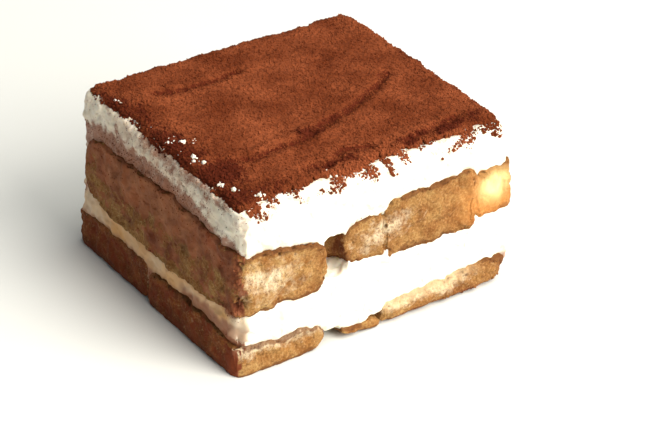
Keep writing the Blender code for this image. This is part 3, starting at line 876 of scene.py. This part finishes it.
def thin_out(piece, share):
    """Keeps only a share of the triangles, and takes them away where nothing shows."""
    group = piece.vertex_groups.new(name="covered")
    group.add([int(i) for i in np.nonzero(read(piece.data, "covered") > 0.98)[0]], 1.0, "REPLACE")
    modifier = piece.modifiers.new("thin out", "DECIMATE")
    modifier.ratio = share
    modifier.vertex_group = "covered"
    modifier.vertex_group_factor = 1000.0
    make_plain(piece)
    piece.vertex_groups.clear()


def sink_under_cocoa(mesh, z, nz):
    """Lowers the cream a little where the coat of cocoa will lie."""
    drop = SINK * read(mesh, "covered") * smooth_step(0.5, 0.9, nz) * smooth_step(44.0, 46.0, z)
    flat = np.empty(len(mesh.vertices) * 3, np.float32)
    mesh.vertices.foreach_get("co", flat)
    flat[2::3] -= (drop * MM).astype(np.float32)
    mesh.vertices.foreach_set("co", flat)


def dress(node_name, material, values):
    """Makes the visible skin of one solid."""
    name = node_name + "_skin"
    piece = joined_copy(name, [node_name], BRIDGES.get(node_name))
    modifier = piece.modifiers.new("even net", "REMESH")
    modifier.mode = "VOXEL"
    modifier.voxel_size = VOXEL
    others = joined_copy("others", [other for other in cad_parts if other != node_name])
    run_tree(piece, SKIN, {"Neighbours": others, "Material": material, **values})
    bpy.data.objects.remove(others)
    if node_name.startswith("cream"):
        thin_out(piece, KEPT_SHARE)
    PIECES[name] = (piece, node_name)
    mesh = piece.data
    x, y, z = points_of(mesh)
    nx, ny, nz = normals_of(mesh)
    if node_name == "cream_upper":
        sink_under_cocoa(mesh, z, nz)
    for label, mask in CUT_MASKS.items():
        store(mesh, label, mask(x, y, z, nx, ny))
    rim = np.minimum(read(mesh, "gap") / MM, z + 0.2)
    rim = rim + 0.5 * wander(x, y, z, 3.0, 4) + 0.4 * wander(x, y, z, 9.0, 5)
    seam = smooth_step(1.5, 4.5, np.minimum(abs(x - 3.0), abs(x - 33.4)))
    dusty = on_left_cut(x, nx, 0.4, 0.8)
    store(mesh, "crust", (1.0 - smooth_step(0.5, 1.9, rim)) * seam * (1.0 - dusty))
    if node_name.startswith("sponge"):
        pore = read(mesh, "pore") * (1.0 - 0.6 * dusty)
        store(mesh, "pore", np.maximum(pore, press_dents(mesh, x, y, z, (nx, ny, nz))))
    for label, amount in sponge_masks(x, y, z, nx, ny).items():
        store(mesh, label, amount)
    print(name, "has", len(mesh.polygons), "faces")


for number, node_name in enumerate(("cream_upper", "cream_lower")):
    dress(node_name, CREAM, {**CREAM_SKIN, "Seed": 0.1 * number})
for number, node_name in enumerate(n for n in sorted(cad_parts) if n.startswith("sponge")):
    values = {"Reach": END_REACH} if node_name == "sponge_upper_end" else {}
    dress(node_name, SPONGE, {**values, "Seed": 0.3 + 0.07 * number})

# %% [markdown]
# ## The coat of cocoa
#
# Sieved powder follows the cream under it, clumps, cracks along the knife strokes, and thins out to
# a ragged edge. The coat could be a displaced copy of its solid, but a solid's edge is a clean line.
# Here a fine grid drops onto the cream, and rays ask at each point whether the coat's solid is
# above. Blurring that yes or no gives a soft border, and noise added to it tears the edge.

# %% How the powder is torn and heaped
GRID_SPACING = 0.42 * MM
COAT_DEPTH = 1.6 * MM  # how far the coat reaches down, into the cream
COAT_INPUTS = {
    "Under": bpy.types.Object,
    "Coat": bpy.types.Object,
    "Strokes": bpy.types.Object,
    "Material": bpy.types.Material,
    "Size X": block_high.x - block_low.x,
    "Size Y": block_high.y - block_low.y,
    "Spacing": GRID_SPACING,
    "Thickness": 1.1 * MM,
    "Furrow depth": 1.1 * MM,
    "Furrow width": 2.0 * MM,
    "Clump size": 1.2 * MM,
    "Clump height": 0.12 * MM,
    "Raggedness": 1.5,
}


def is_torn_away(add, given, here, across, border):
    """Nodes for the torn edge: tongues of 4 mm, broken up by noise down to 0.5 mm, against the soft
    border. The front edge is the most torn, and the left one the least."""
    rough = add(NOISE, {"Vector": here, "Scale": 260.0, "Detail": 5.0, "Roughness": 0.78})
    inputs = {"Value": rough, "From Min": 0.3, "From Max": 0.7, "To Min": -0.5, "To Max": 0.5}
    rough = add(RANGE, inputs)
    inputs = {"Value": across["Y"], "From Min": -26.0 * MM, "From Max": -32.0 * MM, "To Min": 0.6}
    torn_by = add(RANGE, inputs)
    leftness = add(RANGE, {"Value": across["X"], "From Min": -38.0 * MM, "From Max": -41.0 * MM})
    calmer = add(MATH, [leftness, -0.55, 1.0], operation="MULTIPLY_ADD")
    for factor in (calmer, given["Raggedness"], rough):
        torn_by = add(MATH, [torn_by, factor], operation="MULTIPLY")
    whole = add(RANGE, {"Value": border, "From Min": 0.8, "From Max": 1.0})
    border = add(MATH, [border, whole], operation="ADD")
    border = add(MATH, [leftness, 0.3, border], operation="MULTIPLY_ADD")
    torn = add(MATH, [border, torn_by], operation="ADD")
    return add("FunctionNodeCompare", [torn, 0.5], operation="LESS_THAN")


def heap_height(add, given, here, across, border, slope):
    """Nodes for how high the powder lies: full inside, thin at the edge and where it is steep, with
    clumps that are roughest at the front and the left, and drifts between them."""
    full = add(RANGE, {"Value": border, "From Min": 0.3, "From Max": 1.0, "To Min": 0.05})
    thinner = add(RANGE, {"Value": slope, "From Min": 0.4, "From Max": 0.92, "To Min": 0.08})
    full = add(MATH, [full, thinner], operation="MULTIPLY")
    powder = add(MATH, [full, given["Thickness"]], operation="MULTIPLY")
    clump_scale = add(MATH, [1.0, given["Clump size"]], operation="DIVIDE")
    clumps = add(NOISE, {"Vector": here, "Scale": clump_scale, "Detail": 4.0, "Roughness": 0.75})
    clumps = add(RANGE, {"Value": clumps, "From Min": 0.25, "From Max": 0.75, "To Min": -1.0})
    inputs = {"Value": across["Y"], "From Max": -28.0 * MM, "To Min": 0.8, "To Max": 2.0}
    rougher = add(RANGE, inputs)
    left_too = add(RANGE, {"Value": across["X"], "From Min": -33.0 * MM, "From Max": -42.0 * MM})
    rougher = add(MATH, [rougher, left_too], operation="ADD")
    clump_height = add(MATH, [rougher, given["Clump height"]], operation="MULTIPLY")
    clumps = add(MATH, [clumps, clump_height], operation="MULTIPLY")
    drifts = add(NOISE, {"Vector": here, "Scale": 100.0, "Detail": 2.0})
    inputs = {"Value": drifts, "From Min": 0.3, "From Max": 0.7, "To Min": -0.2 * MM, "To Max": 0.2 * MM}
    height = add(MATH, [powder, clumps], operation="ADD")
    return add(MATH, [height, add(RANGE, inputs)], operation="ADD")


def stroke_distance(add, given, here):
    """Nodes for how far a point is from the nearest knife stroke, with a little wobble."""
    lines = add("GeometryNodeObjectInfo", {"Object": given["Strokes"]}).outputs["Geometry"]
    nearest = add("GeometryNodeProximity", {"Target": lines}, target_element="EDGES").outputs["Position"]
    flat = add(VECTOR, [here, nearest], operation="SUBTRACT")
    flat = add(VECTOR, [flat, (1.0, 1.0, 0.0)], operation="MULTIPLY")
    away = add(VECTOR, [flat], operation="LENGTH").outputs["Value"]
    wobble = add(NOISE, {"Vector": here, "Scale": 400.0, "Detail": 3.0})
    inputs = {"Value": wobble, "From Min": 0.3, "From Max": 0.7, "To Min": -0.6 * MM, "To Max": 0.6 * MM}
    return add(MATH, [away, add(RANGE, inputs)], operation="ADD")


print("the coat's points lie", GRID_SPACING / MM, "mm apart")

# %% The tree for the coat


def coat_tree():
    tree, add, given = start_tree("cocoa coat", COAT_INPUTS)
    here = add("GeometryNodeInputPosition")
    across = add(SPLIT, {"Vector": here}).outputs
    grid = {"Size X": given["Size X"], "Size Y": given["Size Y"]}
    for side in ("X", "Y"):
        count = add(MATH, [given["Size " + side], given["Spacing"]], operation="DIVIDE")
        grid["Vertices " + side] = add("FunctionNodeFloatToInt", [count])
    grid = add("GeometryNodeMeshGrid", grid)
    sheet = add("GeometryNodeTransform", {"Geometry": grid, "Translation": (0.0, 0.0, 0.1)})
    hits = {}
    for target in ("Under", "Coat"):
        solid = add("GeometryNodeObjectInfo", {"Object": given[target]}).outputs["Geometry"]
        ray = {"Target Geometry": solid, "Ray Direction": (0.0, 0.0, -1.0), "Ray Length": 0.2}
        hits[target] = add("GeometryNodeRaycast", ray).outputs
    wide = add(BLUR, {"Value": hits["Coat"]["Is Hit"], "Iterations": 20})
    tilt = add(SPLIT, {"Vector": hits["Under"]["Hit Normal"]}).outputs["Z"]
    tilt = add(BLUR, {"Value": tilt, "Iterations": 2})
    for name, value in (("wide", wide), ("level", tilt)):
        sheet = add(STORE, {"Geometry": sheet, "Name": name, "Value": value})
    ground = add(SPLIT, {"Vector": hits["Under"]["Hit Position"]}).outputs["Z"]
    ground = add(BLUR, {"Value": ground, "Iterations": 2})
    laid = add(JOIN, {"X": across["X"], "Y": across["Y"], "Z": ground})
    sheet = add(MOVE, {"Geometry": sheet, "Position": laid})

    # Powder doesn't stay on the steep rounding of the edge, nor where there is no cream.
    slope = add(STORED, {"Name": "level"})
    steep = add("FunctionNodeCompare", [slope, 0.4], operation="LESS_THAN")
    border = add(STORED, {"Name": "wide"})
    for gone in (steep, is_torn_away(add, given, here, across, border)):
        sheet = add("GeometryNodeDeleteGeometry", {"Geometry": sheet, "Selection": gone})

    # The powder that the knife pushed out of a furrow lies beside it as a low lip.
    away = stroke_distance(add, given, here)
    inputs = {"Value": away, "From Min": given["Furrow width"], "From Max": 0.0}
    furrow = add(RANGE, inputs, interpolation_type="SMOOTHSTEP")
    sheet = add(STORE, {"Geometry": sheet, "Name": "furrow", "Value": furrow})
    sunk = add(MATH, [add(STORED, {"Name": "furrow"}), given["Furrow depth"]], operation="MULTIPLY")
    lip = add(MATH, [away, given["Furrow width"]], operation="DIVIDE")
    lip = add(MATH, [lip, 1.6], operation="SUBTRACT")
    lip = add(MATH, [lip], operation="ABSOLUTE")
    lip = add(RANGE, {"Value": lip, "From Max": 0.7, "To Min": 0.2 * MM, "To Max": 0.0})
    sunk = add(MATH, [sunk, lip], operation="SUBTRACT")
    height = heap_height(add, given, here, across, border, slope)
    height = add(MATH, [height, sunk], operation="SUBTRACT")
    height = add(MATH, [height, 0.1 * MM], operation="MAXIMUM")
    top = add(MOVE, {"Geometry": sheet, "Offset": add(JOIN, {"Z": height})})
    top = add(MOVE, {"Geometry": top, "Offset": add_unevenness(add, here)})

    # Close the sheet to a body that reaches down into the cream. The Offset input is a hidden field,
    # so it needs a link: a plain value there would be ignored, and the faces would go up.
    inputs = {"Mesh": top, "Offset": add(JOIN, {"Z": -1.0}), "Offset Scale": COAT_DEPTH, "Individual": False}
    lid = add("GeometryNodeFlipFaces", {"Mesh": add("GeometryNodeExtrudeMesh", inputs)})
    body = add("GeometryNodeJoinGeometry", [lid])
    tree.links.new(top.outputs[0], body.inputs[0])
    merged = add("GeometryNodeMergeByDistance", {"Geometry": body, "Distance": 0.001 * MM})
    smooth = add("GeometryNodeSetShadeSmooth", {"Geometry": merged})
    return end_tree(tree, smooth, given["Material"])


COAT = coat_tree()

# %% [markdown]
# ## Laying the coat
#
# A knife or a spatula has crossed the powder and left furrows, and where cream or coffee has come
# through it is damp and dark. The furrows could be cut with curves and booleans; edges that the
# tree measures the distance to leave the sheet whole. The damp patches are soft ovals with
# wandering borders, and the furrows get the same dark colour, as painted shade in their grooves.

# %% Lay the coat
# Knife strokes across the top, as the points they pass through, in millimetres.
STROKES = [
    [(-37, -12.5), (-28, -16.5), (-21, -15.5), (-9, -15.5), (-3, -12.5), (3, -10.5), (10, -9.5)]
    + [(22, -3.5), (31, 1.5)],
    [(-19, -27.5), (-11, -29.5), (-4, -25.5), (3, -27.5)],
    [(14, -29.5), (24, -29.5), (33, -27)],
    [(-31, 26), (-18, 23), (-4, 25)],
]
# Patches where the cocoa is damp and dark: middle, half widths, in millimetres, and strength.
DAMP = [
    (-39.0, -18.5, 6.5, 6.5, 1.0),
    (-42.5, 0.0, 6.5, 13.0, 0.8),
    (-43.5, 24.0, 4.5, 15.0, 0.7),
    (-42.0, -28.0, 5.0, 6.0, 0.8),
    (-34.0, -30.0, 7.0, 2.5, 0.55),
    (-7.0, -13.5, 4.2, 2.4, 0.9),
    (3.0, -10.5, 4.0, 1.5, 0.75),
    (-9.0, -29.0, 9.0, 2.0, 0.85),
    (16.0, -30.0, 5.0, 2.0, 0.8),
    (27.0, -30.0, 7.0, 2.4, 0.95),
    (38.0, -28.0, 4.5, 2.2, 0.65),
    (42.0, 7.0, 1.5, 2.5, 0.6),
    (20.0, 39.0, 30.0, 2.5, 0.4),
    (43.5, -5.0, 1.8, 30.0, 0.4),
]


def stroke_lines():
    """The strokes as edges at the level of the top."""
    bm = bmesh.new()
    for stroke in STROKES:
        verts = [bm.verts.new((x * MM, y * MM, block_high.z)) for x, y in stroke]
        for pair in zip(verts, verts[1:]):
            bm.edges.new(pair)
    return mesh_object("strokes", bm)


def damp_patches(x, y, z):
    amount = np.zeros_like(x)
    x = x + 1.5 * wander(x, y, 0.0 * z, 6.0, 11)
    y = y + 1.5 * wander(x, y, 0.0 * z, 6.0, 12)
    for middle_x, middle_y, half_x, half_y, strength in DAMP:
        off = ((x - middle_x) / half_x) ** 2 + ((y - middle_y) / half_y) ** 2
        amount = np.maximum(amount, strength * np.exp(-0.7 * off**1.5))
    return amount


def lay_coat():
    under = joined_copy("under", ["cream_upper"])
    solid = joined_copy("coat_solid", ["cocoa_top"])
    lines = stroke_lines()
    coat = add_object("cocoa_top_skin", bpy.data.meshes.new("cocoa_top_skin"))
    run_tree(coat, COAT, {"Under": under, "Coat": solid, "Strokes": lines, "Material": COCOA})
    for helper in (under, solid, lines):
        bpy.data.objects.remove(helper)
    damp = damp_patches(*points_of(coat.data))
    # The furrows get the damp colour as painted shade in their grooves.
    store(coat.data, "damp", np.maximum(damp, 1.1 * np.sqrt(read(coat.data, "furrow"))))
    print("the coat has", len(coat.data.polygons), "faces")
    return coat


PIECES["cocoa_top_skin"] = (lay_coat(), "cocoa_top")

# %% [markdown]
# ## Loose grains
#
# Some powder rolls off the edge and some is dragged down the cuts by the knife, in clumps of about a
# millimetre and less. Each clump could be placed by hand; there are thousands, so points are scattered over
# the skins with a density that follows the mask, and a small rough ball goes on each.

# %% The tree for grains
GRAIN_INPUTS = {
    "Grain": bpy.types.Object,
    "Material": bpy.types.Material,
    "Density": 1.0e6,
    "Smallest": 0.1,
    "Largest": 0.5,
    "Mask": "cocoa_fall",
    "Seed": 0,
}


def grain_tree():
    tree, add, given = start_tree("loose grains", GRAIN_INPUTS)
    seed = given["Seed"]
    density = add(MATH, [given["Density"], add(STORED, {"Name": given["Mask"]})], operation="MULTIPLY")
    inputs = {"Mesh": given["Geometry"], "Density": density, "Seed": seed}
    points = add("GeometryNodeDistributePointsOnFaces", inputs)
    size = add("FunctionNodeRandomValue", {"Min_001": 0.0, "Max_001": 1.0, "Seed": seed})
    size = add(MATH, [size, 3.0], operation="POWER")
    size = add(RANGE, {"Value": size, "To Min": given["Smallest"], "To Max": given["Largest"]})
    inputs = {"Min": (0.0, 0.0, 0.0), "Max": (math.tau, math.tau, math.tau), "Seed": seed}
    turn = add("FunctionNodeRandomValue", inputs, data_type="FLOAT_VECTOR")
    grain = add("GeometryNodeObjectInfo", {"Object": given["Grain"], "As Instance": True})
    inputs = {"Points": points, "Instance": grain.outputs["Geometry"], "Rotation": turn, "Scale": size}
    return end_tree(tree, add("GeometryNodeInstanceOnPoints", inputs), given["Material"])


GRAINS = grain_tree()

# %% [markdown]
# ## Scattering
#
# A grain of cocoa is an irregular lump. A smooth ball of hundreds of faces would look like a bead
# and fill the memory, so each grain is a ball of 8 or 20 faces with its corners pushed about, turned
# at random. Where they lie is a mask again: thick along the broken front and left edges of the
# powder, thinning out down the cuts.

# %% Helpers for scattering
AXES = [(1, 0, 0), (-1, 0, 0), (0, 1, 0), (0, -1, 0), (0, 0, 1), (0, 0, -1)]
EXTRAS = []


def rough_ball(name, faces, seed):
    """A lump one millimetre across with 8 or 20 uneven sides."""
    bm = bmesh.new()
    if faces == 8:
        corners = [bm.verts.new(Vector(way) * 0.55 * MM) for way in AXES]
        for i, j, k in ((i, j, k) for i in (0, 1) for j in (2, 3) for k in (4, 5)):
            bm.faces.new((corners[i], corners[j], corners[k]))
        bmesh.ops.recalc_face_normals(bm, faces=bm.faces[:])
    else:
        bmesh.ops.create_icosphere(bm, subdivisions=1, radius=0.5 * MM)
    random = np.random.default_rng(seed)
    for vert in bm.verts:
        vert.co *= 1.0 + 0.4 * (random.random() - 0.5)
    return mesh_object(name, bm)


def scatter(name, sources, mask, material, slot, faces=20, **values):
    """Grains over the source pieces, as one mesh. mask says how densely, from 0 to 1."""
    bm = bmesh.new()
    for source in sources:
        bm.from_mesh(source.data)
    grains = mesh_object(name, bm)
    mesh = grains.data
    store(mesh, "amount", np.clip(mask(*points_of(mesh), *normals_of(mesh)), 0.0, 1.0))
    ball = rough_ball("grain", faces, len(EXTRAS))
    inputs = {"Grain": ball, "Material": material, "Seed": len(EXTRAS), "Mask": "amount"}
    run_tree(grains, GRAINS, {**inputs, **values})
    bpy.data.objects.remove(ball)
    store(grains.data, "damp", damp_patches(*points_of(grains.data)))
    EXTRAS.append((grains, slot))
    print(name, "has", len(grains.data.polygons), "faces")


print("the simplest grain has", len(AXES), "corners")

# %% Scatter the grains
coat = PIECES["cocoa_top_skin"][0]
cream_top = PIECES["cream_upper_skin"][0]
cuts = [piece for name, (piece, _) in PIECES.items() if name != "cocoa_top_skin"]


def over_top(x, y, z, nx, ny, nz):
    return smooth_step(0.2, 0.5, nz) * smooth_step(44.0, 45.0, z)


def over_top_edge(x, y, z, nx, ny, nz):
    """Thickest along the front and left edges, where the knife broke the powder up."""
    border = np.maximum(smooth_step(-25.0, -33.0, y), smooth_step(-32.0, -41.0, x))
    patches = 0.45 + 0.55 * smooth_step(-0.2, 0.5, wander(x, y, z, 5.0, 13))
    return border * patches * smooth_step(0.1, 0.4, nz) * smooth_step(44.0, 46.0, z)


def down_the_front(x, y, z, nx, ny, nz):
    """On the rounded front edge of the cream: many near the powder, a few further down."""
    patches = smooth_step(-0.3, 0.5, wander(x, y, z, 5.0, 14))
    fade = smooth_step(45.0, 48.3, z + 1.2 * wander(x, y, z, 7.0, 15)) ** 2
    return fade * patches * smooth_step(-30.0, -33.0, y)


def down_the_left(x, y, z, nx, ny, nz):
    """On the cream of the left cut, and in the corner that it shares with the long cut."""
    cream = np.maximum(smooth_step(35.5, 38.0, z), band(13.0, 17.0, 1.0, z))
    fallen = cocoa_fall(x, y, z, nx, 0.0 * ny) * smooth_step(-40.0, -44.0, x) * (0.15 + 0.85 * cream)
    corner = smooth_step(-44.0, -45.6, x) * smooth_step(-35.8, -37.4, y) * band(9.0, 36.0, 1.0, z)
    return np.maximum(fallen, corner * smooth_step(-0.3, 0.4, wander(x, y, z, 4.0, 21)))


# Densities are in grains per square metre, sizes in millimetres.
for name, sources, mask, faces, density, smallest, largest in (
    ("cocoa_grains_on_top", [coat], over_top, 8, 2.8e6, 0.4, 0.9),
    ("cocoa_clumps_at_the_edge", [coat], over_top_edge, 20, 4.0e6, 0.4, 1.2),
    ("cocoa_clumps_on_the_front", [cream_top], down_the_front, 20, 7.0e6, 0.3, 1.3),
    ("cocoa_grains_on_the_cut", cuts, down_the_left, 8, 3.0e6, 0.12, 0.4),
):
    values = {"Density": density, "Smallest": smallest, "Largest": largest}
    scatter(name, sources, mask, COCOA, "cocoa_powder", faces, **values)

# %% [markdown]
# ## Flecks of cream and crumbs of sponge
#
# The knife also carries cream up onto the powder and crumbs of sponge down over the cream. A few
# could be modelled one by one, but they are the same kind of lump as the grains, so the same tree
# scatters them: flecks in the spots where the cream came through, crumbs along the edges of the
# fingers.

# %% Scatter flecks and crumbs
# Where flecks of cream lie on the powder: middle and half width in millimetres, and strength.
FLECKS = [
    (-41.3, 1.8, 1.9, 1.0),
    (-39.3, 0.0, 1.5, 0.8),
    (-36.0, -1.3, 1.3, 1.0),
    (-41.5, -4.5, 1.2, 0.5),
    (-42.0, -8.3, 1.1, 0.8),
    (-41.5, 27.8, 1.1, 0.8),
    (-41.0, -26.4, 1.4, 0.6),
    (-42.8, -23.0, 1.1, 0.7),
    (-13.4, -33.5, 1.1, 0.8),
    (-29.0, -32.5, 1.2, 0.6),
    (-36.5, -31.5, 1.4, 0.6),
]


def flecks_on_top(x, y, z, nx, ny, nz):
    amount = 0.02 * np.maximum(smooth_step(-36.0, -42.0, x), smooth_step(-29.0, -32.0, y))
    amount = amount * smooth_step(0.0, 0.6, wander(x, y, z, 3.0, 20))
    for middle_x, middle_y, half, strength in FLECKS:
        off = ((x - middle_x) ** 2 + (y - middle_y) ** 2) / half**2
        amount = np.maximum(amount, strength * np.exp(-off))
    return amount * smooth_step(0.1, 0.4, nz)


def along_the_crusts(x, y, z, nx, ny, nz):
    """On the long cut, where a finger meets the cream."""
    raised = band(38.0, 40.5, 0.8, z) * (x > 3.0) * (x < 33.0)
    upper = np.maximum(band(36.0, 38.0, 0.8, z) * (x < 3.0), raised)
    lower = band(17.5, 20.5, 1.0, z - 0.08 * x)
    feet = band(0.0, 2.0, 0.8, z) * (x > 2.0)
    patches = smooth_step(0.0, 0.7, wander(x, y, z, 5.0, 16))
    lines = np.maximum.reduce([0.6 * upper, 0.3 * lower, 0.6 * feet])
    corner = smooth_step(-44.0, -45.5, x) * smooth_step(-35.0, -37.0, y) * band(14.0, 36.0, 1.0, z)
    return np.maximum(smooth_step(0.5, 0.8, -ny) * patches * lines, 0.8 * corner)


fingers = [piece for name, (piece, _) in PIECES.items() if name.startswith("sponge")]
values = {"Density": 1.3e6, "Smallest": 0.4, "Largest": 1.8}
scatter("cream_flecks", [coat], flecks_on_top, CREAM, "cream", **values)
values = {"Density": 4.0e6, "Smallest": 0.25, "Largest": 1.0}
scatter("sponge_crumbs", fingers, along_the_crusts, SPONGE, "sponge", **values)

# %% [markdown]
# ## One body for all the pieces
#
# A real portion is one thing that is lifted whole, so every piece rides on the one body. Each skin
# stands for its solid and takes its place to the eye, while the solid stays for weight and
# touch. Joining everything to one mesh would be simpler, but then no layer could be taken by name.

# %% Put the pieces on one body
for name, (piece, node_name) in PIECES.items():
    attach(piece, "root")
    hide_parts(node_name)
for piece, slot in EXTRAS:
    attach(piece, "root")
total = sum(len(piece.data.polygons) for piece, _ in list(PIECES.values()) + EXTRAS)
print("faces in all:", total)

visual_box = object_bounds()
growth = (visual_box[1] - visual_box[0]) - (cad_box[1] - cad_box[0])
print("over the solids' box, mm:", [round(side / MM, 2) for side in growth])
